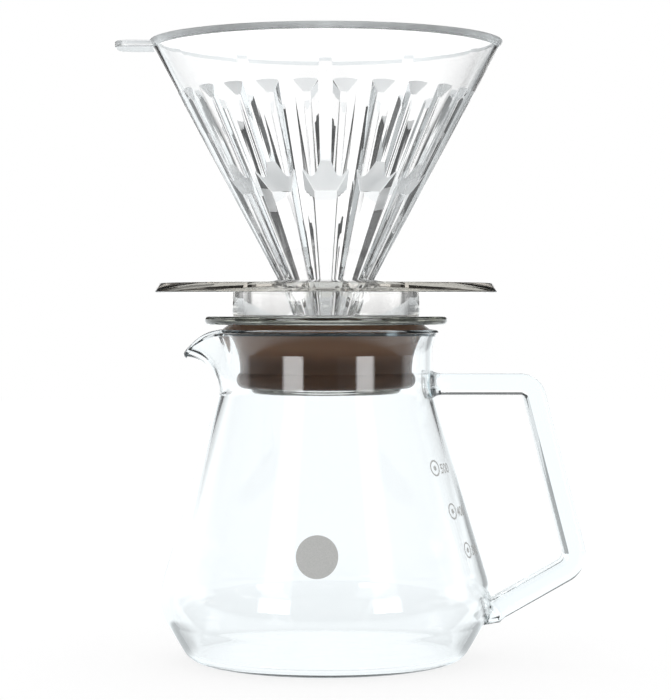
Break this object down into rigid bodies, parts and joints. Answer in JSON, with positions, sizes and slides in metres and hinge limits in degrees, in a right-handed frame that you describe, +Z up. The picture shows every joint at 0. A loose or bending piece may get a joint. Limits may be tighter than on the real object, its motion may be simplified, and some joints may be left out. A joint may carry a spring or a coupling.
{
  "type": "pour-over dripper with server",
  "caption": "Clear conical coffee dripper with inner ribs on a flanged base, standing on the sealed lid of a glass server with a spout and a strap handle.",
  "frame": {"origin": "centre of the server's flat bottom, on the table", "axes": "+Z up along the common axis of server, lid and dripper; +X towards the handle; spout and tab towards -X"},
  "size_m": [0.1591, 0.1196, 0.2094],
  "materials": {
    "server_glass": "clear blown borosilicate glass",
    "handle_glass": "clear fire-polished glass",
    "lid_glass": "clear pressed glass with greenish edges",
    "seal_silicone": "glossy brown silicone",
    "base_plastic": "clear moulded plastic, slightly warm grey",
    "funnel_plastic": "clear moulded plastic with cut-glass ribs"
  },
  "bodies": {
    "server": {"server_body": "server_glass", "server_handle": "handle_glass"},
    "lid": {"lid_plate": "lid_glass", "lid_seal": "seal_silicone"},
    "base": {"dripper_base": "base_plastic"},
    "funnel": {"dripper_funnel": "funnel_plastic"}
  },
  "joints": [
    {"name": "lid_lift", "type": "slide", "parent": "server", "child": "lid", "axis": [0, 0, 1], "range_m": [0, 0.06]},
    {"name": "base_lift", "type": "slide", "parent": "lid", "child": "base", "axis": [0, 0, 1], "range_m": [0, 0.05]},
    {"name": "funnel_lift", "type": "slide", "parent": "base", "child": "funnel", "axis": [0, 0, 1], "range_m": [0, 0.05]}
  ]
}
